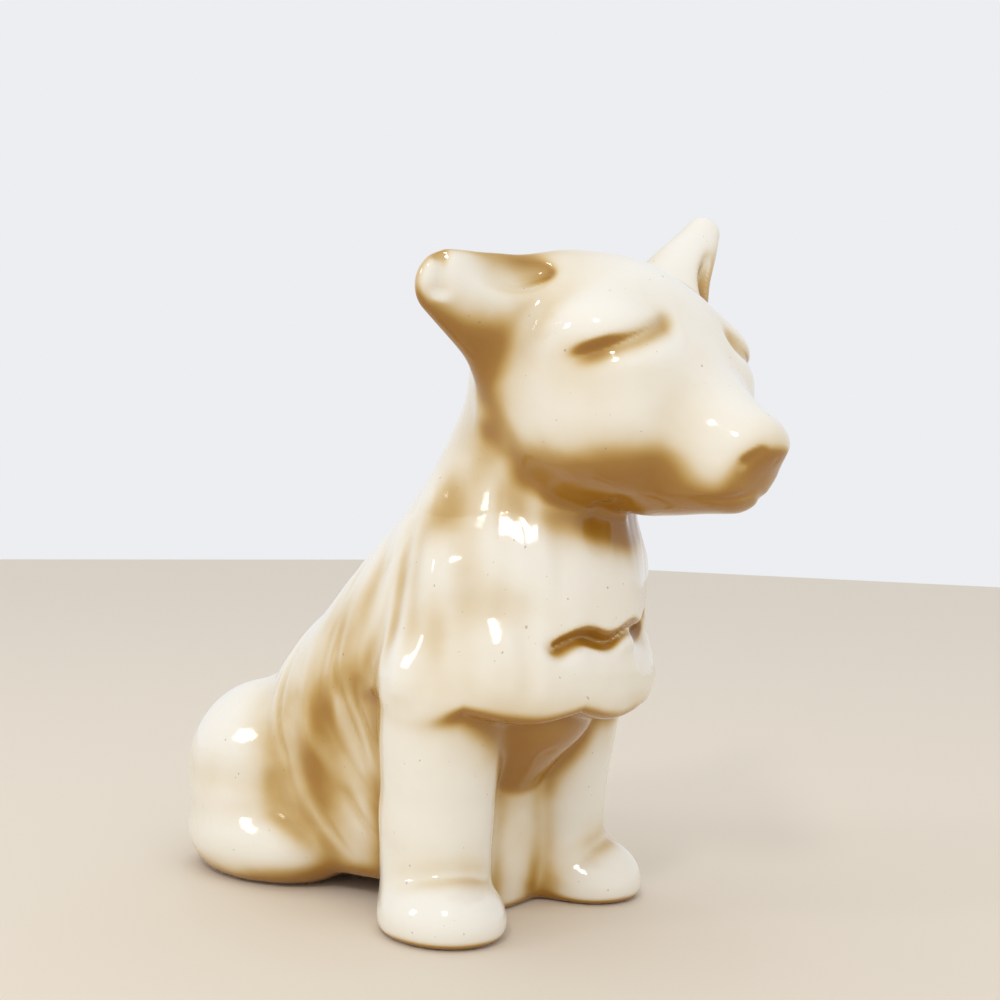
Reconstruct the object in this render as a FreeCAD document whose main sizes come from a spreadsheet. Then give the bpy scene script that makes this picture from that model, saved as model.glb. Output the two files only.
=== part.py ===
import FreeCAD, Part
import os

# A sitting terrier, slip cast in glazed earthenware. The dog looks along -Y, its right side is -X and
# the table is the plane Z = 0. The origin is on the table, in the middle of the figure's box.
# All sizes are in millimetres.

SIZES = {
    # clay
    "wall": 3.5,
    "drain_radius": 4.5,
    "drain_y": 28.0,
    # neck joint: a plane that leans forward from the nape to the throat
    "neck_y": -15.5,
    "neck_z": 79.5,
    "neck_tilt": 26.0,
    # tail, a short cone that lies up the rump
    "tail_y": 54.8,
    "tail_z": 11.0,
    "tail_length": 14.0,
    "tail_root_radius": 5.4,
    "tail_tip_radius": 3.4,
    "tail_lean": -14.0,
}

# Cutting tools: blocks far larger than the figure, and a drill that starts below the seat
BLOCK_SIZE = 400.0
DRILL_START = -5.0
DRILL_LENGTH = 20.0

# Level sections of the body, from the seat to the nape: height, front, back, half width
BODY = {
    "seat": (2.0, -6.0, 54.0, 18.5),
    "hocks": (12.0, -7.5, 57.5, 22.0),
    "rump": (24.0, -10.5, 56.0, 23.5),
    "loin": (36.0, -20.5, 47.0, 24.0),
    "ribs": (48.0, -26.5, 34.5, 23.0),
    "shoulder": (60.0, -28.0, 21.5, 20.5),
    "ruff": (72.0, -31.0, 9.5, 18.2),
    "nape": (84.0, -34.0, 2.0, 17.0),
    "crown": (95.0, -36.5, -5.0, 14.5),
}

# Upright sections of the head, from the back of the skull to the lips: y, middle z, half width, half height
HEAD = {
    "occiput": (-4.5, 96.0, 10.0, 8.0),
    "parietal": (-9.0, 95.0, 16.0, 14.0),
    "temple": (-18.0, 93.5, 20.0, 18.5),
    "forehead": (-28.0, 91.5, 21.0, 20.0),
    "stop": (-38.0, 87.5, 19.0, 17.5),
    "bridge": (-46.0, 81.8, 13.0, 12.2),
    "beard": (-54.0, 78.2, 8.8, 8.0),
    "lips": (-59.5, 77.0, 5.6, 4.6),
}
HEAD_HOLLOW = ("parietal", "temple", "forehead", "stop", "bridge", "beard")

# Ellipsoids: centre x, y, z, then half sizes along x, y, z, then the pitch about X in degrees
ROUND = {
    "bib": (0.0, -9.5, 46.0, 25.0, 22.5, 14.5, 0.0),
    "nose": (0.0, -56.4, 80.6, 5.8, 5.2, 3.8, 0.0),
    "brow": (12.5, -38.0, 97.5, 7.5, 6.5, 5.5, 0.0),
    "paw": (18.2, -10.7, 2.8, 9.8, 11.2, 7.6, 0.0),
    "haunch": (12.5, 42.5, 18.0, 16.0, 18.0, 18.0, -8.0),
    "foot": (19.3, 31.5, 6.0, 11.0, 21.5, 9.6, 0.0),
}

# Level sections of a foreleg, from below the table, which trims it, up to the elbow:
# height, distance from the middle plane, y, half width, half depth
FORELEG = {
    "leg_sole": (-3.0, 15.6, -6.2, 9.1, 9.1),
    "leg_pastern": (12.0, 15.4, -5.9, 9.2, 9.2),
    "leg_forearm": (26.0, 15.6, -6.6, 9.9, 9.9),
    "leg_elbow": (40.0, 15.8, -7.6, 10.8, 10.8),
}

# Ears: root x, y, z, tip x, y, z, root half width and half thickness, tip half width and half thickness
EARS = {
    "ear_right": (-10.0, -24.0, 99.0, -34.6, -22.4, 103.6, 12.5, 6.8, 4.6, 3.0),
    "ear_left": (11.0, -25.0, 101.5, 35.0, -22.8, 123.6, 9.5, 6.0, 2.9, 2.5),
}


def new_sheet(doc):
    """Put every driving dimension into one sheet, each in a cell with its own alias."""
    sheet = doc.addObject("Spreadsheet::Sheet", "Sizes")
    cells = dict(SIZES)
    for name, values in BODY.items():
        for key, value in zip(("z", "front", "back", "half"), values):
            cells[name + "_" + key] = value
    for name, values in HEAD.items():
        for key, value in zip(("y", "z", "half", "tall"), values):
            cells[name + "_" + key] = value
    for name, values in ROUND.items():
        for key, value in zip(("x", "y", "z", "rx", "ry", "rz", "pitch"), values):
            cells[name + "_" + key] = value
    for name, values in FORELEG.items():
        for key, value in zip(("z", "x", "y", "rx", "ry"), values):
            cells[name + "_" + key] = value
    ear_keys = ("x", "y", "z", "tipx", "tipy", "tipz", "wide", "thick", "tipwide", "tipthick")
    for name, values in EARS.items():
        for key, value in zip(ear_keys, values):
            cells[name + "_" + key] = value
    for row, (alias, value) in enumerate(cells.items(), start=1):
        sheet.set("A%d" % row, alias)
        sheet.set("B%d" % row, str(value))
        sheet.setAlias("B%d" % row, alias)
    return sheet


def bind(thing, **sizes):
    """Bind properties to sheet expressions; a double underscore stands for the dot of a path."""
    for path, expression in sizes.items():
        thing.setExpression(path.replace("__", "."), expression)
    return thing


def place(thing, x, y, z):
    bind(thing, Placement__Base__x=x, Placement__Base__y=y, Placement__Base__z=z)
    return thing


def ellipsoid(doc, label, name, side=1):
    """An ellipsoid from its sheet row, on side -1 (right) or 1 (left)."""
    cell = "Sizes.%s_" % name
    ball = doc.addObject("Part::Ellipsoid", label)
    ball.Placement = FreeCAD.Placement(
        FreeCAD.Vector(0, 0, 0), FreeCAD.Rotation(FreeCAD.Vector(1, 0, 0), ROUND[name][6]))
    bind(ball, Radius1=cell + "rz", Radius2=cell + "rx", Radius3=cell + "ry",
         Placement__Rotation__Angle=cell + "pitch")
    return place(ball, "%d * %sx" % (side, cell), cell + "y", cell + "z")


def fuse(doc, label, shapes):
    joined = doc.addObject("Part::MultiFuse", label)
    joined.Shapes = shapes
    return joined


def cut(doc, label, base, tools):
    """Take each tool away from base in turn."""
    result = base
    for index, tool in enumerate(tools):
        last = index == len(tools) - 1
        step = doc.addObject("Part::Cut", label if last else "%s_step%d" % (label, index))
        step.Base = result
        step.Tool = tool
        result = step
    return result


def loft(doc, label, sections):
    skin = doc.addObject("Part::Loft", label)
    skin.Sections = sections
    skin.Solid = True
    skin.Ruled = False
    return skin


def body_loft(doc, label, shrink="0"):
    """The body as one smooth skin through its level ellipses, long axis along Y."""
    sections = []
    for name in BODY:
        cell = "Sizes.%s_" % name
        ring = doc.addObject("Part::Ellipse", "%s_%s" % (label, name))
        ring.Placement.Rotation = FreeCAD.Rotation(FreeCAD.Vector(0, 0, 1), 90)
        bind(ring, MajorRadius="(%sback - %sfront) / 2 - %s" % (cell, cell, shrink),
             MinorRadius="%shalf - %s" % (cell, shrink))
        lift = "+ " + shrink if name == "seat" else "+ 0"
        place(ring, "0", "(%sback + %sfront) / 2" % (cell, cell), "%sz %s" % (cell, lift))
        sections.append(ring)
    return loft(doc, label, sections)


def half_space(doc, label, above):
    """A large block on one side of the neck joint's plane."""
    block = doc.addObject("Part::Box", label)
    block.Length = block.Width = block.Height = BLOCK_SIZE
    turn = FreeCAD.Rotation(FreeCAD.Vector(1, 0, 0), SIZES["neck_tilt"])
    corner = turn.multVec(FreeCAD.Vector(-BLOCK_SIZE / 2, -BLOCK_SIZE / 2, 0 if above else -BLOCK_SIZE))
    block.Placement.Rotation = turn
    bind(block, Placement__Rotation__Angle="Sizes.neck_tilt")
    return place(block, str(corner.x), "Sizes.neck_y + %f" % corner.y, "Sizes.neck_z + %f" % corner.z)


def table_block(doc):
    """Everything below the table's plane, which trims the feet flat."""
    block = doc.addObject("Part::Box", "table_block")
    block.Length = block.Width = block.Height = BLOCK_SIZE
    block.Placement.Base = FreeCAD.Vector(-BLOCK_SIZE / 2, -BLOCK_SIZE / 2, -BLOCK_SIZE)
    return block


def make_torso(doc, skin, bib, above_neck):
    """Hollow casting: chest, back and rump, open at the neck and drained through the seat."""
    outside = fuse(doc, "torso_outside", [skin, bib])
    cavity = body_loft(doc, "torso_cavity", "Sizes.wall")
    drain = doc.addObject("Part::Cylinder", "torso_drain")
    drain.Height = DRILL_LENGTH
    bind(drain, Radius="Sizes.drain_radius")
    place(drain, "0", "Sizes.drain_y", str(DRILL_START))
    return outside, cut(doc, "torso", outside, [cavity, drain, above_neck])


def head_loft(doc, label, names, shrink="0"):
    """The head as one smooth skin through its upright ellipses, long axis across."""
    sections = []
    for name in names:
        cell = "Sizes.%s_" % name
        ring = doc.addObject("Part::Ellipse", "%s_%s" % (label, name))
        ring.Placement.Rotation = FreeCAD.Rotation(FreeCAD.Vector(1, 0, 0), 90)
        bind(ring, MajorRadius="%shalf - %s" % (cell, shrink), MinorRadius="%stall - %s" % (cell, shrink))
        sections.append(place(ring, "0", cell + "y", cell + "z"))
    return loft(doc, label, sections)


def make_head(doc, skin, below_neck):
    """Hollow casting: skull, cheeks, brows, muzzle and nose, open at the neck."""
    lumps = [head_loft(doc, "head_skin", HEAD), ellipsoid(doc, "head_nose", "nose"), skin]
    for side, word in ((-1, "right"), (1, "left")):
        lumps.append(ellipsoid(doc, "head_brow_" + word, "brow", side))
    outside = fuse(doc, "head_outside", lumps)
    hollow = fuse(doc, "head_cavity", [head_loft(doc, "head_skull_cavity", HEAD_HOLLOW, "Sizes.wall"),
                                       body_loft(doc, "head_neck_cavity", "Sizes.wall")])
    return outside, cut(doc, "head", outside, [hollow, below_neck])


def make_ear(doc, node, head_outside):
    """A tapering flap of clay with a rounded tip, luted to the skull, broad side to the front."""
    cell = "Sizes.%s_" % node
    root = FreeCAD.Vector(*EARS[node][0:3])
    tip = FreeCAD.Vector(*EARS[node][3:6])
    along = tip - root
    turn = FreeCAD.Rotation(FreeCAD.Vector(0, 0, 1), along.cross(FreeCAD.Vector(0, 0, 1)), along, "ZXY")
    sections = []
    for end, prefix in (("root", ""), ("tip", "tip")):
        ring = doc.addObject("Part::Ellipse", "%s_%s" % (node, end))
        ring.Placement.Rotation = turn
        bind(ring, MajorRadius="%s%swide" % (cell, prefix), MinorRadius="%s%sthick" % (cell, prefix))
        place(ring, cell + prefix + "x", cell + prefix + "y", cell + prefix + "z")
        sections.append(ring)
    bead = doc.addObject("Part::Ellipsoid", node + "_bead")
    bead.Placement.Rotation = turn
    bind(bead, Radius1=cell + "tipthick", Radius2=cell + "tipwide", Radius3=cell + "tipthick")
    place(bead, cell + "tipx", cell + "tipy", cell + "tipz")
    flap = fuse(doc, node + "_flap", [loft(doc, node + "_blank", sections), bead])
    return cut(doc, node, flap, [head_outside])


def make_foreleg(doc, torso_outside, table):
    """The right foreleg: a column with a paw, trimmed flat at the table."""
    sections = []
    for name in FORELEG:
        cell = "Sizes.%s_" % name
        ring = doc.addObject("Part::Ellipse", name + "_ring")
        ring.Placement.Rotation = FreeCAD.Rotation(FreeCAD.Vector(0, 0, 1), 90)
        bind(ring, MajorRadius=cell + "ry", MinorRadius=cell + "rx")
        sections.append(place(ring, "-%sx" % cell, cell + "y", cell + "z"))
    whole = fuse(doc, "foreleg_whole", [loft(doc, "foreleg_column", sections),
                                        ellipsoid(doc, "foreleg_paw", "paw", -1)])
    return cut(doc, "foreleg_right", whole, [torso_outside, table])


def make_hind_leg(doc, torso_outside, table):
    """The right hind leg: a folded haunch with its long foot, trimmed flat at the table."""
    whole = fuse(doc, "hind_leg_whole", [ellipsoid(doc, "hind_leg_haunch", "haunch", -1),
                                         ellipsoid(doc, "hind_leg_foot", "foot", -1)])
    return cut(doc, "hind_leg_right", whole, [torso_outside, table])


def mirrored(doc, label, source):
    """The left twin of a right limb, across the body's middle plane."""
    twin = doc.addObject("Part::Mirroring", label)
    twin.Source = source
    twin.Normal = (1, 0, 0)
    return twin


def make_tail(doc, torso_outside):
    """A short carrot of a tail, held up against the rump."""
    lean = FreeCAD.Rotation(FreeCAD.Vector(1, 0, 0), SIZES["tail_lean"])
    cone = doc.addObject("Part::Cone", "tail_cone")
    cone.Placement.Rotation = lean
    bind(cone, Radius1="Sizes.tail_root_radius", Radius2="Sizes.tail_tip_radius",
         Height="Sizes.tail_length", Placement__Rotation__Angle="Sizes.tail_lean")
    place(cone, "0", "Sizes.tail_y", "Sizes.tail_z")
    bead = doc.addObject("Part::Sphere", "tail_bead")
    bind(bead, Radius="Sizes.tail_tip_radius")
    place(bead, "0", "Sizes.tail_y - Sizes.tail_length * sin(Sizes.tail_lean * 1deg)",
          "Sizes.tail_z + Sizes.tail_length * cos(Sizes.tail_lean * 1deg)")
    return cut(doc, "tail", fuse(doc, "tail_whole", [cone, bead]), [torso_outside])


def check(doc):
    for thing in doc.Objects:
        if "Invalid" in thing.State or "Error" in thing.State:
            raise RuntimeError("%s failed: %s" % (thing.Label, thing.State))


def main():
    doc = FreeCAD.newDocument("Terrier")
    new_sheet(doc)
    doc.recompute()
    skin = body_loft(doc, "body_skin")
    table = table_block(doc)
    torso_outside, torso = make_torso(
        doc, skin, ellipsoid(doc, "torso_bib", "bib"), half_space(doc, "above_neck", True))
    head_outside, head = make_head(doc, skin, half_space(doc, "below_neck", False))
    nodes = [torso, head]
    nodes += [make_ear(doc, node, head_outside) for node in EARS]
    for limb, make in (("foreleg", make_foreleg), ("hind_leg", make_hind_leg)):
        right = make(doc, torso_outside, table)
        nodes += [right, mirrored(doc, limb + "_left", right)]
    nodes.append(make_tail(doc, torso_outside))
    doc.recompute()
    check(doc)
    os.makedirs("parts", exist_ok=True)
    for node in nodes:
        if node.Shape.isNull() or not node.Shape.isValid():
            raise RuntimeError("%s has no valid shape" % node.Label)
        print(node.Label, len(node.Shape.Solids), "solid, volume %.0f" % node.Shape.Volume)
        node.Shape.exportStep("parts/%s.step" % node.Label)


main()
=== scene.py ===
"""A sitting dog in glazed earthenware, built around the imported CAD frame.

The figure is drawn as one distance field in millimetres (the dog looks along -Y, its right side is -X).
The field is meshed once, hollowed like a slip casting and cut into the pieces that the CAD names.
"""
import math

import bpy
import numpy as np
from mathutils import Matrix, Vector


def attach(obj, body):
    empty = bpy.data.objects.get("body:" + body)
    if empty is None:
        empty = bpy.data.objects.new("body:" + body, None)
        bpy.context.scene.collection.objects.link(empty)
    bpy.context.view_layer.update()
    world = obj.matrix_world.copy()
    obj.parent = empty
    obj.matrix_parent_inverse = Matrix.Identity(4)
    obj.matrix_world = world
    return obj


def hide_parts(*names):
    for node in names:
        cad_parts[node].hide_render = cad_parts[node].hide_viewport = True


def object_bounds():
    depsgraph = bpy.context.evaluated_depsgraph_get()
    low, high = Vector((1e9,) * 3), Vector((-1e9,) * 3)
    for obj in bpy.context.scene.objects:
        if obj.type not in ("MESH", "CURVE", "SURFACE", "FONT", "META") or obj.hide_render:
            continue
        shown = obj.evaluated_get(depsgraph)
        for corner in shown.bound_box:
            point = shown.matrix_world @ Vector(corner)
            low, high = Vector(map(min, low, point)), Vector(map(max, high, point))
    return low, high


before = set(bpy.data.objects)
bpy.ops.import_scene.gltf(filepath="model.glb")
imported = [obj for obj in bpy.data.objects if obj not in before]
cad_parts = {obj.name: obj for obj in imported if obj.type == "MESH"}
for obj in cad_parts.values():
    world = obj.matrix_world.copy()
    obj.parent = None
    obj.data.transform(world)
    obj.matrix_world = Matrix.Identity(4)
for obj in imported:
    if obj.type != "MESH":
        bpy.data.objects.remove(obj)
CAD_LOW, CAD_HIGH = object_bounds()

import openvdb as vdb
from mathutils import Quaternion, Vector

MM = 0.001

# The box the figure is drawn in, fitted to the CAD model's box
DRAWN_LOW = np.array((-37.7, -61.6, 0.0))
DRAWN_HIGH = np.array((37.7, 61.6, 126.3))
FIT_LOW = np.array(CAD_LOW) / MM
FIT = (np.array(CAD_HIGH) / MM - FIT_LOW) / (DRAWN_HIGH - DRAWN_LOW)

# Meshing
FINE_STEP = 0.5
BLOCK = 4
BAND = 3.4
MARGIN = 5.0
HOLLOW_STEP = 1.5
CHUNK = 200000
NEAR_SKIN = 0.12

# Clay
WALL = 3.5
TABLE_ROUND = 2.5
DRAIN_RADIUS = 4.5
DRAIN_Y = 28.0
NECK = (0.0, -15.5, 79.5)
NECK_TILT = 26.0


# ---------------------------------------------------------------- distance fields

def rotation(yaw=0.0, pitch=0.0, roll=0.0):
    """Local-to-world matrix: roll about Y, then pitch about X, then yaw about Z, in degrees."""
    y, p, r = (math.radians(angle) for angle in (yaw, pitch, roll))
    about_z = np.array([[math.cos(y), -math.sin(y), 0], [math.sin(y), math.cos(y), 0], [0, 0, 1]])
    about_x = np.array([[1, 0, 0], [0, math.cos(p), -math.sin(p)], [0, math.sin(p), math.cos(p)]])
    about_y = np.array([[math.cos(r), 0, math.sin(r)], [0, 1, 0], [-math.sin(r), 0, math.cos(r)]])
    return (about_z @ about_x @ about_y).astype(np.float32)


def ellipsoid(p, centre, radii, turn=None):
    q = p - np.array(centre, np.float32)
    if turn is not None:
        q = q @ turn
    r = np.array(radii, np.float32)
    near = np.linalg.norm(q / r, axis=-1)
    slope = np.linalg.norm(q / (r * r), axis=-1)
    return near * (near - 1.0) / np.maximum(slope, 1e-6)


def limb(p, a, b, radius_a, radius_b):
    """A round cone: the skin stretched over a ball at a and a ball at b."""
    a, b = np.array(a, np.float32), np.array(b, np.float32)
    axis = b - a
    length = float(np.linalg.norm(axis))
    taper = (radius_a - radius_b) / length
    slant = math.sqrt(max(1 - taper * taper, 0))
    along = (p - a) @ (axis / length)
    out = np.sqrt(np.maximum(((p - a) ** 2).sum(-1) - along ** 2, 0))
    # foot of the perpendicular to the slanted side, measured along the axis
    start = along - out * taper / slant
    side = out * slant + along * taper - radius_a
    near_a = np.hypot(out, along) - radius_a
    near_b = np.hypot(out, along - length) - radius_b
    return np.where(start < 0, near_a, np.where(start > length, near_b, side))


def flap(p, a, b, radius_a, radius_b, thin, ratio):
    """A round cone squeezed by ratio along the direction thin."""
    n = np.array(thin, np.float32)
    n /= np.linalg.norm(n)
    a, b = np.array(a, np.float32), np.array(b, np.float32)
    q = p + ((p - a) @ n)[..., None] * n * (ratio - 1)
    b = b + ((b - a) @ n) * n * (ratio - 1)
    return limb(q, a, b, radius_a, radius_b) / (0.5 + 0.5 * ratio)


def join(a, b, k):
    """Union with a fillet about k wide."""
    h = np.maximum(k - np.abs(a - b), 0) / k
    return np.minimum(a, b) - h * h * h * k / 6.0


def meet(a, b, k):
    """Intersection with rounded edges."""
    return -join(-a, -b, k)


def carve(a, b, k):
    """a with b taken away."""
    return meet(a, -b, k)


def plane(p, point, normal):
    """Distance above the plane through point, along normal."""
    n = np.array(normal, np.float32)
    return (p - np.array(point, np.float32)) @ (n / np.linalg.norm(n))


def smooth_rows(rows, x):
    """The columns of a table at x, on smooth curves through its rows."""
    rows = np.array(rows, np.float32)
    t, v = rows[:, 0], rows[:, 1:]
    secant = np.diff(v, axis=0) / np.diff(t)[:, None]
    slope = np.vstack([secant[:1], (secant[1:] + secant[:-1]) / 2, secant[-1:]])
    i = np.clip(np.searchsorted(t, x) - 1, 0, len(t) - 2)
    u = np.clip((x - t[i]) / (t[i + 1] - t[i]), 0, 1)[..., None]
    h = (t[i + 1] - t[i])[..., None]
    return ((1 + 2 * u) * (1 - u) ** 2 * v[i] + u * (1 - u) ** 2 * h * slope[i]
            + u * u * (3 - 2 * u) * v[i + 1] + u * u * (u - 1) * h * slope[i + 1])


def column(p, rows):
    """An upright body through level ellipses: rows of height, front, back, half width."""
    c = smooth_rows(rows, p[..., 2])
    middle, deep, half = (c[..., 0] + c[..., 1]) / 2, (c[..., 1] - c[..., 0]) / 2, c[..., 2]
    x, y = p[..., 0], p[..., 1] - middle
    near = np.sqrt((x / half) ** 2 + (y / deep) ** 2)
    slope = np.sqrt((x / half ** 2) ** 2 + (y / deep ** 2) ** 2)
    return 0.85 * near * (near - 1) / np.maximum(slope, 1e-5)


def noise(p, seed, size):
    """Smooth seeded values from -1 to 1, on a lattice whose cells are size millimetres along each axis."""
    side = 32
    table = np.random.default_rng(seed).uniform(-1, 1, (side, side, side)).astype(np.float32)
    q = p / np.array(size, np.float32)
    cell = np.floor(q).astype(np.int32)
    u = q - cell
    u = u * u * (3 - 2 * u)
    total = 0
    for dx in (0, 1):
        for dy in (0, 1):
            for dz in (0, 1):
                corner = (cell + (dx, dy, dz)) % side
                weight = (np.abs(1 - dx - u[..., 0]) * np.abs(1 - dy - u[..., 1])
                          * np.abs(1 - dz - u[..., 2]))
                total = total + weight * table[corner[..., 0], corner[..., 1], corner[..., 2]]
    return total


def fade(x, start, end):
    """0 before start, 1 after end, with a smooth step between."""
    t = np.clip((x - start) / (end - start), 0, 1)
    return t * t * (3 - 2 * t)


# ---------------------------------------------------------------- the dog

# Level sections of the body and of the bib of long chest hair: height, front, back, half width
BODY = [(-4, -5.0, 52.0, 12.5), (2, -6.0, 54.0, 15.5), (12, -7.5, 57.5, 20.0), (24, -10.5, 56.0, 23.0),
        (36, -17.5, 47.0, 23.5), (48, -23.0, 34.5, 22.0), (60, -26.0, 21.5, 20.0),
        (72, -30.0, 9.0, 17.8), (84, -34.0, 1.0, 16.0), (95, -36.5, -6.0, 13.5)]
BODY_TOP = 94.0
SEAT_LIFT = 3.0
BIB = [(28, -22.5, 14.0, 22.0), (35, -30.2, 15.0, 25.0), (42, -32.2, 15.0, 25.2), (50, -30.4, 13.0, 23.6),
       (58, -27.5, 10.0, 20.5), (66, -25.0, 6.0, 17.0)]
BIB_TOP = 66.0


def mirrored(p):
    """The same points with the left side folded onto +X, for what both sides share."""
    m = p.copy()
    m[..., 0] = np.abs(p[..., 0])
    return m


def locks(along, pitch, depth):
    """A hem of hanging locks of hair: rounded drops with creases between them."""
    return depth * (1.0 - np.abs(np.sin(np.pi * along / pitch)))


def trunk(p, m):
    """Back, rump and chest, without the hair that hangs on them."""
    d = column(p, BODY)
    d = meet(d, p[..., 2] - BODY_TOP, 8)
    d = carve(d, p[..., 2] - SEAT_LIFT, 5)
    d = join(d, ellipsoid(p, (0, -4.5, 14), (16, 6.5, 22)), 5)
    d = join(d, limb(p, (0, -9.5, 40), (0, -4.5, 25), 15, 7.5), 3.0)
    # hollow of the flank, in front of the haunch
    flank = join(limb(m, (27.0, 24.5, 33), (27.4, 24.5, 24), 1.6, 3.2),
                 limb(m, (27.4, 24.5, 24), (25.6, 17.0, 12), 3.2, 2.2), 2)
    d = carve(d, flank, 8)
    # recess behind the foreleg
    return carve(d, ellipsoid(m, (27.0, 9, 16), (8, 9, 24)), 7)


def bib_hair(p):
    """The bib, cut off in hanging locks above the forelegs."""
    x, y, z = p[..., 0], p[..., 1], p[..., 2]
    around = np.arctan2(x, -(y - 4.0))
    hem = 35.0 + locks(around * 24.0 + 5.0, 14.0, 1.8) + 3.5 * np.clip(np.abs(around) - 0.6, 0, 1) ** 2
    d = np.maximum(column(p, BIB), z - BIB_TOP)
    return meet(d, hem - z, 3.0)


def throat_hair(p):
    """The tuft under the throat, in two locks."""
    x, z = p[..., 0], p[..., 2]
    d = ellipsoid(p, (0.5, -19.6, 57.5), (16.5, 13.4, 20))
    hem = 47.6 + locks(x + 5.3, 12.0, 1.8) + 0.014 * x ** 2
    return meet(d, hem - z, 1.5)


def torso(p, m):
    d = join(trunk(p, m), bib_hair(p), 3.0)
    d = join(d, throat_hair(p), 3.0)
    d = join(d, ellipsoid(m, (12.0, -15.0, 61), (6.5, 8, 9), rotation(yaw=25)), 8)
    return join(d, ellipsoid(m, (17.0, -8.5, 57), (4.5, 7.5, 9), rotation(yaw=50)), 8)


def foreleg(m):
    d = join(limb(m, (16.0, -7.8, 40), (15.3, -5.8, 18), 11.0, 9.4),
             limb(m, (15.3, -5.8, 18), (15.6, -6.2, 5), 9.4, 9.2), 2)
    return join(d, ellipsoid(m, (18.4, -10.7, 2.8), (9.8, 11.2, 7.6)), 3)


def hind_leg(m):
    d = ellipsoid(m, (12.0, 42.5, 18.2), (15.0, 18.0, 17.8), rotation(pitch=-8))
    return join(d, ellipsoid(m, (13.8, 39.5, 7.2), (13.2, 20.0, 10.4)), 3.0)


def tail(p):
    return limb(p, (0, 54.5, 12), (0, 58.0, 24), 5.4, 3.4)


def skull(p, m):
    """Head without ears: skull, cheeks, brows, and a blunt wedge of a muzzle."""
    d = ellipsoid(p, (0, -26, 93.5), (21.5, 21, 18.5))
    d = join(d, ellipsoid(m, (9, -33, 86), (12.5, 15.5, 14)), 6)
    d = join(d, ellipsoid(m, (13.6, -37.2, 96.4), (8.0, 7.4, 5.2), rotation(yaw=20)), 10)
    d = join(d, limb(p, (0, -38, 84.5), (0, -53.0, 78.2), 13.6, 7.6), 7)
    return join(d, limb(p, (0, -38, 78.0), (0, -52.5, 75.8), 9.0, 6.2), 5)


def head(p, m):
    d = skull(p, m)
    # lids
    d = join(d, ellipsoid(m, (13.0, -42.0, 91.4), (5.0, 3.2, 3.0), rotation(yaw=35)), 7)
    # nose: the front of the muzzle slopes back below an overhanging pad
    d = meet(d, plane(p, (0, -59.4, 80), (0, -0.95, -0.31)), 5)
    d = join(d, ellipsoid(p, (0, -55.6, 80.0), (5.8, 5.2, 3.6)), 5)
    d = carve(d, limb(m, (4.4, -60.4, 78.0), (5.6, -58.4, 76.6), 0.7, 0.4), 2.0)
    d = carve(d, limb(p, (0, -60.4, 77), (0, -59.0, 73), 0.5, 0.5), 1.0)
    mouth = join(limb(m, (0, -58.4, 72.4), (5.0, -55.0, 71.0), 0.6, 0.6),
                 limb(m, (5.0, -55.0, 71.0), (7.5, -47, 70.6), 0.6, 0.3), 0.5)
    return carve(d, mouth, 1.4)


def ear_right(p):
    """The near ear, folded out level, with a shallow cup on its front."""
    d = flap(p, (-12, -24.0, 98.0), (-33.4, -22.4, 102.8), 12.4, 5.2, (0.2, 1, 0.35), 1.9)
    d = carve(d, ellipsoid(p, (-27, -29.9, 105.6), (10.5, 4.6, 3.8), rotation(yaw=2, roll=-2)), 4)
    return d


def ear_left(p):
    """The far ear, pricked."""
    thin = (0.75, 0.66, -0.2)
    d = flap(p, (16, -25, 102), (34.6, -22.9, 122.6), 9.6, 3.4, thin, 1.7)
    return carve(d, ellipsoid(p, (28.2, -30.2, 113.5), (1.8, 3.4, 7.0), rotation(roll=35)), 3.5)


def dent(away, width):
    """1 where away is 0, fading smoothly to 0 across about width."""
    return np.exp(-(away / width) ** 2)


def between(x, start, end, soft):
    """1 from start to end, fading to 0 over soft outside them."""
    return fade(x, start - soft, start) * (1 - fade(x, end, end + soft))


def folds(p, m):
    """How deep the folds are pressed into the clay, in millimetres."""
    x, y, z, side = p[..., 0], p[..., 1], p[..., 2], m[..., 0]
    # lower edge of the throat tuft, in two locks that rise towards the left
    tuft_edge = 49.3 + 0.12 * x + 0.7 * np.cos(2 * np.pi * (x + 7.8) / 10)
    tuft = dent(z - tuft_edge, 1.4) * between(x, -11, 10, 4) * (1 - fade(y, -24, -18))
    # crease under each brow, falling outwards
    brow_line = 101.6 - 0.44 * side
    brow = dent(0.92 * (z - brow_line), 1.7) * between(side, 10, 19, 4) * (1 - fade(y, -40, -34))
    # crease between haunch and hind foot
    haunch = dent(z - 18.2, 4) * between(y, 31, 50, 7) * fade(side, 14, 20)
    # small hooked roll at the tip of the folded ear
    hook = dent(x + 35.8, 1.3) * between(z, 101.5, 106, 2) * (1 - fade(y, -24, -22))
    # hollow beside the tuft
    chest = np.exp(-(((p - (-18.5, -22, 53)) / (7, 8, 3.6)) ** 2).sum(-1))
    return 1.3 * tuft + 0.7 * chest + 1.0 * brow + 0.9 * haunch + 0.9 * hook


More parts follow.
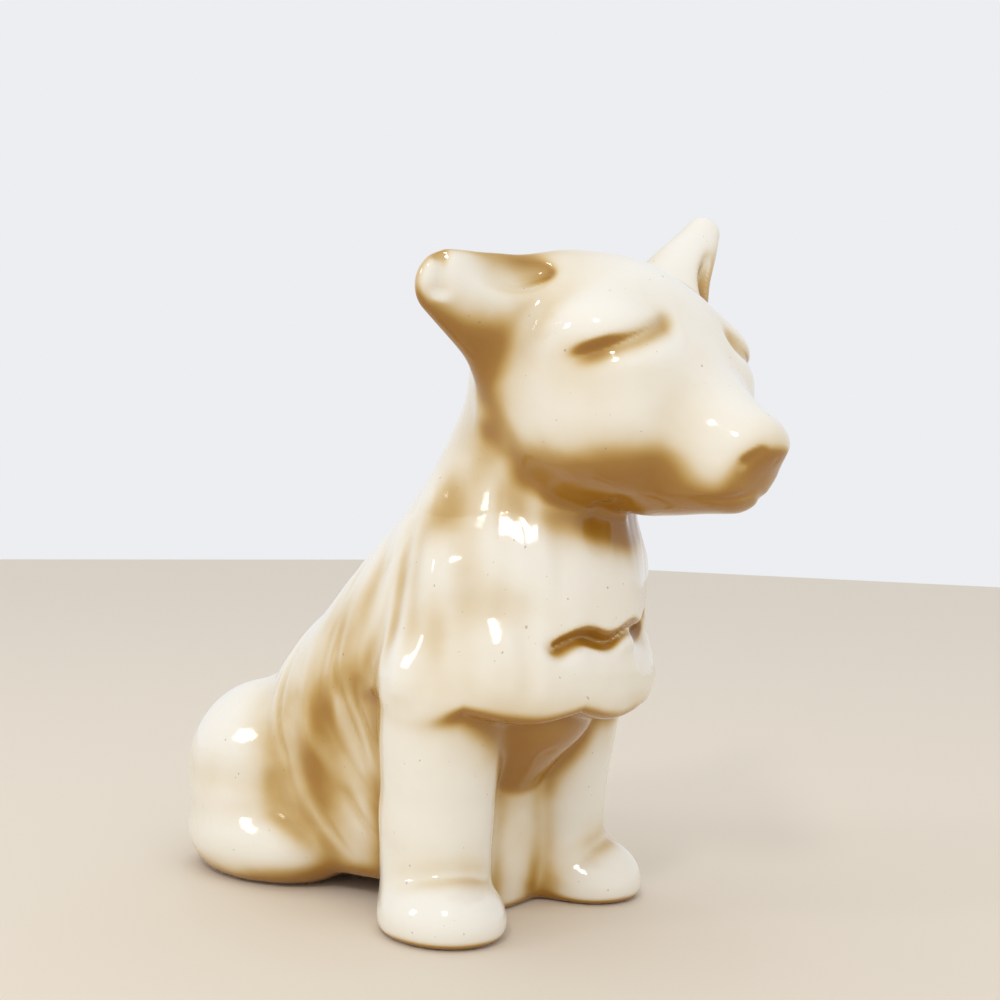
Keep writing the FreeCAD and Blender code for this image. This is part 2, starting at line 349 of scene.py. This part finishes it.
def relief(p, m):
    """Soft hair strokes pressed into the clay: positive raises the surface, in millimetres."""
    x, y, z = p[..., 0], p[..., 1], p[..., 2]
    side = (fade(y, -6, 8) * fade(z, 6, 14) * (1 - fade(z, 76, 88))
            * (1 - fade(y, 28, 38) * (1 - fade(z, 34, 42)))
            * fade(hind_leg(m), 0.5, 5) * fade(foreleg(m), 0.3, 3))
    chest = (1 - fade(y, -2, 10)) * fade(z, 36, 42) * (1 - fade(z, 70, 78))
    # strokes on the flank follow arcs from the nape down the back and forward to the elbow
    across, rise = (y + 20) / 38, (z - 45) / 46
    bow, turn = 38 * np.hypot(across, rise), 45 * np.arctan2(rise, across)
    combed = noise(np.stack([x, bow, turn], -1), 3, (16, 3.4, 15))
    round_chest = 26 * np.arctan2(x, -(y - 4))
    ribs = noise(np.stack([round_chest, y, z], -1), 5, (7.5, 30, 19))
    hairs = noise(np.stack([round_chest, y, z], -1), 6, (2.2, 30, 12))
    mottle = noise(p, 9, (6, 6, 6))
    ruff = np.exp(-(((m - (19, -17, 82)) / (9, 10, 11)) ** 2).sum(-1))
    mottle = mottle + 2.5 * ruff * noise(p, 12, (4.5, 5.5, 6.5))
    return (side * (0.65 * np.sqrt(combed ** 2 + 0.015) - 0.2)
            + chest * (0.85 * ribs + 0.22 * hairs) + 0.14 * mottle - folds(p, m))


def figure(p):
    """Distance from the outside of the whole figure, in millimetres: negative in the clay."""
    m = mirrored(p)
    d = join(torso(p, m), foreleg(m), 4.0)
    d = join(d, hind_leg(m), 4.0)
    d = join(d, tail(p), 3)
    crown = join(join(head(p, m), ear_right(p), 8), ear_left(p), 4)
    d = join(d, crown, 9) - relief(p, m)
    return meet(d, -p[..., 2], TABLE_ROUND)


def hollow(p):
    """The space inside the casting, which stays clear of the solid limbs, ears and tail."""
    m = mirrored(p)
    d = join(trunk(p, m), skull(p, m), 5) + WALL
    for solid in (foreleg(m), hind_leg(m), tail(p), ear_right(p), ear_left(p)):
        d = np.maximum(d, 1.0 - solid)
    return np.maximum(d, WALL - p[..., 2])


# ---------------------------------------------------------------- meshing

def sample(field, points):
    """A field's values at frame points, in millimetres."""
    values = np.empty(len(points), np.float32)
    for start in range(0, len(points), CHUNK):
        part = points[start:start + CHUNK]
        drawn = ((part - FIT_LOW) / FIT + DRAWN_LOW).astype(np.float32)
        values[start:start + CHUNK] = field(drawn)
    return values


def lattice(low, step, counts):
    axes = [low[i] + step * np.arange(counts[i]) for i in range(3)]
    return np.stack(np.meshgrid(*axes, indexing="ij"), -1).reshape(-1, 3)


def skin(field, low, high, step):
    """Quads on a field's surface. Only the blocks near the surface are sampled finely."""
    counts = np.ceil((high - low) / (step * BLOCK)).astype(int)
    middle = low + step * (BLOCK - 1) / 2
    rough = sample(field, lattice(middle, step * BLOCK, counts)).reshape(counts)
    fine = np.repeat(np.repeat(np.repeat(rough, BLOCK, 0), BLOCK, 1), BLOCK, 2)
    blocks = np.argwhere(np.abs(rough) < BAND * (step + 0.5))
    inside = lattice(np.zeros(3), 1, (BLOCK,) * 3).astype(int)
    index = (blocks[:, None, :] * BLOCK + inside[None, :, :]).reshape(-1, 3)
    fine[index[:, 0], index[:, 1], index[:, 2]] = sample(field, low + index * step)
    grid = vdb.FloatGrid(background=BAND)
    grid.copyFromArray(fine)
    points, quads = grid.convertToQuads(isovalue=0.0)
    return points * step + low, quads


def gradient(field, points, reach=0.25):
    """Unit normals of a field by central differences."""
    axes = [sample(field, points + offset) - sample(field, points - offset)
            for offset in reach * np.eye(3)]
    slope = np.stack(axes, -1) / (2 * reach)
    return slope, slope / np.maximum(np.linalg.norm(slope, axis=-1, keepdims=True), 1e-6)


def mesh_object(name, points, faces):
    mesh = bpy.data.meshes.new(name)
    mesh.from_pydata((points * MM).tolist(), [], faces.tolist())
    mesh.update()
    thing = bpy.data.objects.new(name, mesh)
    bpy.context.scene.collection.objects.link(thing)
    return thing


def combined(name, base, operation, tool):
    """A new object: base with tool intersected or taken away."""
    thing = bpy.data.objects.new(name, base.data)
    bpy.context.scene.collection.objects.link(thing)
    cut = thing.modifiers.new("cut", "BOOLEAN")
    cut.operation = operation
    cut.solver = "MANIFOLD"
    cut.object = tool
    bpy.context.view_layer.update()
    result = thing.evaluated_get(bpy.context.evaluated_depsgraph_get())
    mesh = bpy.data.meshes.new_from_object(result)
    thing.modifiers.clear()
    thing.data = mesh
    return thing


def drop(*things):
    for thing in things:
        bpy.data.objects.remove(thing)


def block(name, low, high, turn=None, about=(0, 0, 0)):
    """A box from low to high about a point, turned there."""
    corners = np.array([(x, y, z) for x in (low[0], high[0]) for y in (low[1], high[1])
                        for z in (low[2], high[2])], float)
    if turn is not None:
        corners = corners @ turn.T
    faces = np.array([(0, 1, 3, 2), (4, 6, 7, 5), (0, 4, 5, 1), (2, 3, 7, 6), (0, 2, 6, 4), (1, 5, 7, 3)])
    return mesh_object(name, corners + np.array(about), faces)


def cylinder(name, x, y, radius, low, high, sides=48):
    turns = np.arange(sides) * 2 * math.pi / sides
    ring = np.stack([x + radius * np.cos(turns), y + radius * np.sin(turns)], -1)
    points = np.vstack([np.column_stack([ring, np.full(sides, level)]) for level in (low, high)])
    walls = [(i, (i + 1) % sides, (i + 1) % sides + sides, i + sides) for i in range(sides)]
    mesh = bpy.data.meshes.new(name)
    mesh.from_pydata((points * MM).tolist(), [],
                     walls + [tuple(range(sides))[::-1], tuple(range(sides, 2 * sides))])
    thing = bpy.data.objects.new(name, mesh)
    bpy.context.scene.collection.objects.link(thing)
    return thing


# Each limb's piece is what lies within ROOT of its own drawn shape. The legs stay off the midline.
ROOT = 1.2
OFF_MIDLINE = 2.5
LIMBS = {
    "ear_right": ear_right,
    "ear_left": ear_left,
    "foreleg_right": lambda p: np.maximum(foreleg(p * (-1, 1, 1)), p[..., 0] + OFF_MIDLINE),
    "foreleg_left": lambda p: np.maximum(foreleg(p), OFF_MIDLINE - p[..., 0]),
    "hind_leg_right": lambda p: np.maximum(hind_leg(p * (-1, 1, 1)), p[..., 0] + OFF_MIDLINE),
    "hind_leg_left": lambda p: np.maximum(hind_leg(p), OFF_MIDLINE - p[..., 0]),
    "tail": tail,
}


def build_pieces():
    """The nine closed pieces, each a thick-walled or solid casting."""
    low, high = FIT_LOW - MARGIN, np.array(CAD_HIGH) / MM + MARGIN
    points, quads = skin(figure, low, high, FINE_STEP)
    for _ in range(2):
        slope, _unit = gradient(figure, points)
        away = sample(figure, points)
        points -= np.clip(away / np.maximum((slope ** 2).sum(-1), 0.2), -0.4, 0.4)[:, None] * slope
    solid = mesh_object("solid", points, quads)
    cavity = mesh_object("cavity", *skin(hollow, low, high, HOLLOW_STEP))
    drain = cylinder("drain", 0, DRAIN_Y, DRAIN_RADIUS, -5, 12)
    shell = combined("shell", solid, "DIFFERENCE", cavity)
    drained = combined("drained", shell, "DIFFERENCE", drain)
    above = block("above", (-100, -100, 0), (100, 100, 150), rotation(pitch=NECK_TILT), NECK)
    pieces = {"head": combined("head_and_ears", drained, "INTERSECT", above),
              "torso": combined("trunk_and_limbs", drained, "DIFFERENCE", above)}
    drop(solid, cavity, drain, shell, drained, above)
    for name, shape in LIMBS.items():
        owner = "head" if name.startswith("ear") else "torso"
        region = mesh_object(name + "_region", *skin(lambda p: shape(p) - ROOT, low, high, HOLLOW_STEP))
        whole = pieces[owner]
        pieces[name] = combined(name, whole, "INTERSECT", region)
        pieces[owner] = combined(owner, whole, "DIFFERENCE", region)
        drop(whole, region)
    return pieces


# ---------------------------------------------------------------- surface

# Painted shade in hollows: how far out along the normal free space is looked for, and how much each reach
# counts
SHADE_REACHES = (1.5, 3.0, 6.0, 12.0)
SHADE_WEIGHTS = (0.20, 0.25, 0.30, 0.25)

# Places where painted shade is added to the glaze colour, alike on both sides: centre, reach, amount
NOSE_SHADE = ((0, -60.5, 76), (6, 5, 5), 0.45)
BRISKET_SHADE = ((0, -15, 31), (16, 9, 8), 0.28)
WEB_SHADE = ((0, -10, 15), (9, 9, 14), 0.15)
FLANK_SHADE = ((23, 16, 21), (9, 13, 16), 0.20)
SIDE_SHADE = ((23, 14, 46), (9, 19, 20), 0.13)
EAR_SHADE = ((27, -22, 94), (9, 5, 4), 0.16)
JAW_SHADE = ((10, -40, 72), (12, 14, 7), 0.12)
PAINTED_SHADES = (NOSE_SHADE, BRISKET_SHADE, WEB_SHADE, FLANK_SHADE, SIDE_SHADE, EAR_SHADE, JAW_SHADE)
SOLE_HEIGHT = 0.25
BARE_PAINTED_SHADE = 0.3


def painted_shading(points, normals):
    """How much painted shade each point gets, in the glaze's cream-to-ochre colours: more in hollows, in the
    grooves of the relief, under overhangs and on the listed shaded places.
    """
    painted_shade = np.zeros(len(points))
    for reach, weight in zip(SHADE_REACHES, SHADE_WEIGHTS):
        free = sample(figure, points + normals * reach)
        painted_shade += weight * np.clip((reach - free) / reach, 0, 1)
    drawn = ((points - FIT_LOW) / FIT + DRAWN_LOW).astype(np.float32)
    # painted shade added on the listed shaded places
    for centre, reach, amount in PAINTED_SHADES:
        painted_shade += amount * np.exp(-(((mirrored(drawn) - centre) / reach) ** 2).sum(-1))
    # painted shade: darker in the hollows, in the relief's grooves and on surfaces facing down
    return 1.1 * painted_shade + 0.03 - 0.13 * relief(drawn, mirrored(drawn)) + 0.6 * fade(-normals[:, 2], 0.1, 0.95)


def dress(piece):
    """Smooth normals on the glazed outside, flat ones on joints and inside, and the painted shade of the
    glaze.
    """
    mesh = piece.data
    count = len(mesh.vertices)
    points = np.empty(count * 3, np.float32)
    mesh.vertices.foreach_get("co", points)
    points = points.reshape(-1, 3).astype(float) / MM
    _slope, normals = gradient(figure, points)
    outside = np.abs(sample(figure, points)) < NEAR_SKIN
    painted_shade = np.where(outside, painted_shading(points, normals), BARE_PAINTED_SHADE)
    # the painted shade is stored on the mesh for the glaze colour
    layer = mesh.attributes.new("painted_shade", "FLOAT", "POINT")
    layer.data.foreach_set("value", painted_shade.astype(np.float32))
    face_count = len(mesh.polygons)
    face_normals = np.empty(face_count * 3, np.float32)
    mesh.polygons.foreach_get("normal", face_normals)
    face_normals = face_normals.reshape(-1, 3)
    starts, totals = np.empty(face_count, np.int32), np.empty(face_count, np.int32)
    mesh.polygons.foreach_get("loop_start", starts)
    mesh.polygons.foreach_get("loop_total", totals)
    corner = np.empty(len(mesh.loops), np.int32)
    mesh.loops.foreach_get("vertex_index", corner)
    face_of = np.repeat(np.arange(face_count), totals)
    agree = (normals[corner] * face_normals[face_of]).sum(-1) > 0.5
    glazed_corner = outside[corner] & agree
    glazed = np.ones(face_count, bool)
    np.logical_and.at(glazed, face_of, glazed_corner)
    split = np.where(glazed[face_of][:, None], normals[corner], face_normals[face_of])
    mesh.shade_smooth()
    mesh.normals_split_custom_set(split.tolist())
    sole = (face_normals[:, 2] < -0.9) & glazed
    centre_z = np.zeros(face_count)
    np.add.at(centre_z, face_of, points[corner][:, 2])
    sole &= centre_z / totals < SOLE_HEIGHT
    bare = np.where(sole | ~glazed, 1, 0).astype(np.int32)
    mesh.polygons.foreach_set("material_index", bare)
    mesh.update()


def shader(name):
    material = bpy.data.materials.new(name)
    material.use_nodes = True
    return material, material.node_tree, material.node_tree.nodes["Principled BSDF"]


def add(tree, kind, **settings):
    node = tree.nodes.new(kind)
    for key, value in settings.items():
        setattr(node, key, value)
    return node


def noise_node(tree, scale, detail=2.0):
    node = add(tree, "ShaderNodeTexNoise")
    place = tree.nodes.get("place") or add(tree, "ShaderNodeTexCoord", name="place")
    tree.links.new(place.outputs["Object"], node.inputs["Vector"])
    node.inputs["Scale"].default_value = scale
    node.inputs["Detail"].default_value = detail
    return node


def ramp(tree, source, stops):
    node = add(tree, "ShaderNodeValToRGB")
    node.color_ramp.interpolation = "B_SPLINE" if len(stops) > 2 else "LINEAR"
    while len(node.color_ramp.elements) < len(stops):
        node.color_ramp.elements.new(0.5)
    for element, (position, colour) in zip(node.color_ramp.elements, stops):
        element.position = position
        element.color = (*colour, 1.0)
    tree.links.new(source, node.inputs["Fac"])
    return node.outputs["Color"]


def mixed(tree, factor, a, b, kind="MIX"):
    node = add(tree, "ShaderNodeMix", data_type="RGBA", blend_type=kind)
    for socket, value in ((node.inputs[0], factor), (node.inputs[6], a), (node.inputs[7], b)):
        if isinstance(value, bpy.types.NodeSocket):
            tree.links.new(value, socket)
        elif isinstance(value, tuple):
            socket.default_value = (*value, 1.0)
        else:
            socket.default_value = value
    return node.outputs[2]


# the glaze's own cream, then the buff, honey and ochre of the painted shade
CREAM = (0.87, 0.84, 0.76)
BUFF = (0.78, 0.69, 0.52)
HONEY = (0.58, 0.38, 0.10)
OCHRE = (0.34, 0.15, 0.008)


def glaze_material():
    """Cream glaze over buff clay, with painted shade in honey and ochre in the hollows, under overhangs and
    on the shaded places.
    """
    material, tree, surface = shader("glaze")
    # painted shade from the mesh, with a little random drift, picks the colour from cream to ochre
    painted_shade = add(tree, "ShaderNodeAttribute", attribute_name="painted_shade")
    drift = noise_node(tree, 60.0, 3.0)
    shade_and_drift = add(tree, "ShaderNodeMath", operation="MULTIPLY_ADD")
    tree.links.new(drift.outputs["Fac"], shade_and_drift.inputs[0])
    shade_and_drift.inputs[1].default_value = 0.26
    tree.links.new(painted_shade.outputs["Fac"], shade_and_drift.inputs[2])
    colour = ramp(tree, shade_and_drift.outputs[0], [(0.20, CREAM), (0.37, BUFF), (0.51, HONEY), (0.66, OCHRE)])
    pits = noise_node(tree, 1300.0, 0.0)
    pit_mask = ramp(tree, pits.outputs["Fac"], [(0.12, (0.5, 0.5, 0.5)), (0.165, (0, 0, 0))])
    colour = mixed(tree, pit_mask, colour, (0.25, 0.18, 0.10))
    tree.links.new(colour, surface.inputs["Base Color"])
    surface.inputs["Roughness"].default_value = 0.12
    surface.inputs["IOR"].default_value = 1.52
    surface.inputs["Coat Weight"].default_value = 0.4
    surface.inputs["Coat Roughness"].default_value = 0.05
    wave = noise_node(tree, 140.0, 2.0)
    bump = add(tree, "ShaderNodeBump")
    bump.inputs["Strength"].default_value = 0.35
    bump.inputs["Distance"].default_value = 0.0006
    tree.links.new(wave.outputs["Fac"], bump.inputs["Height"])
    tree.links.new(bump.outputs["Normal"], surface.inputs["Normal"])
    return material


def clay_material():
    """Bare biscuit clay: soles, joints and the inside."""
    material, tree, surface = shader("bare_clay")
    grain = noise_node(tree, 1500.0, 4.0)
    colour = ramp(tree, grain.outputs["Fac"], [(0.3, (0.55, 0.43, 0.31)), (0.7, (0.68, 0.57, 0.44))])
    tree.links.new(colour, surface.inputs["Base Color"])
    surface.inputs["Roughness"].default_value = 0.85
    return material


# ---------------------------------------------------------------- stage

# Soft lamps: place and width in figure heights, power in watts, colour
WARM, COOL = (1.0, 0.98, 0.95), (0.97, 0.98, 1.0)
LAMPS = (((-3.9, -2.2, 4.3), 0.6, 0.8, WARM),
         ((-5.0, 2.3, 3.0), 0.9, 0.55, WARM),
         ((-3.2, -4.6, 5.4), 7.0, 0.9, COOL))


def floor_and_light():
    height = CAD_HIGH.z - CAD_LOW.z
    size = 14 * height
    floor = mesh_object("floor", np.array([(-size, -size, 0), (size, -size, 0), (size, size, 0),
                                           (-size, size, 0)]) / MM, np.array([(0, 1, 2, 3)]))
    material, _tree, surface = shader("floor")
    surface.inputs["Base Color"].default_value = (0.78, 0.70, 0.58, 1)
    surface.inputs["Roughness"].default_value = 0.7
    floor.data.materials.append(material)
    world = bpy.data.worlds.new("studio")
    bpy.context.scene.world = world
    world.use_nodes = True
    back = world.node_tree.nodes["Background"]
    back.inputs["Color"].default_value = (0.96, 0.97, 1.0, 1)
    back.inputs["Strength"].default_value = 0.88
    for place, width, power, colour in LAMPS:
        lamp = bpy.data.lights.new("window", "AREA")
        lamp.shape = "RECTANGLE"
        lamp.size = width * height
        lamp.size_y = 1.5 * width * height
        lamp.energy = power
        lamp.color = colour
        thing = bpy.data.objects.new("window", lamp)
        thing.location = Vector(place) * height
        aim = thing.location - Vector((0, 0, height / 2))
        thing.rotation_mode = "QUATERNION"
        thing.rotation_quaternion = aim.to_track_quat("Z", "Y")
        # only the small lamps are mirrored in the glaze
        thing.visible_glossy = width < 1
        bpy.context.scene.collection.objects.link(thing)


CAMERA_FROM_CENTRE = (-1.361, -1.261, 0.022)
CAMERA_TURN = -48.0
CAMERA_TILT = -1.32
CAMERA_ROLL = -1.5
LENS = 46.8


def place_camera():
    """At the photograph's viewing angle, with distances in figure heights."""
    height = CAD_HIGH.z - CAD_LOW.z
    camera = bpy.data.cameras.new("camera")
    camera.lens = LENS
    camera.clip_start = 0.01
    thing = bpy.data.objects.new("camera", camera)
    thing.location = (CAD_LOW + CAD_HIGH) / 2 + Vector(CAMERA_FROM_CENTRE) * height
    turn, tilt = math.radians(CAMERA_TURN), math.radians(CAMERA_TILT)
    look = Vector((-math.sin(turn) * math.cos(tilt), math.cos(turn) * math.cos(tilt), -math.sin(tilt)))
    thing.rotation_mode = "QUATERNION"
    thing.rotation_quaternion = Quaternion(look, math.radians(CAMERA_ROLL)) @ look.to_track_quat("-Z", "Y")
    bpy.context.scene.collection.objects.link(thing)
    bpy.context.scene.camera = thing


# ---------------------------------------------------------------- build

glaze, clay = glaze_material(), clay_material()
for node, piece in build_pieces().items():
    piece.name = "glazed_" + node
    piece.data.materials.clear()
    piece.data.materials.append(glaze)
    piece.data.materials.append(clay)
    dress(piece)
    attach(piece, "root")
    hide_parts(node)
floor_and_light()
place_camera()
bpy.context.scene.view_settings.view_transform = "Standard"
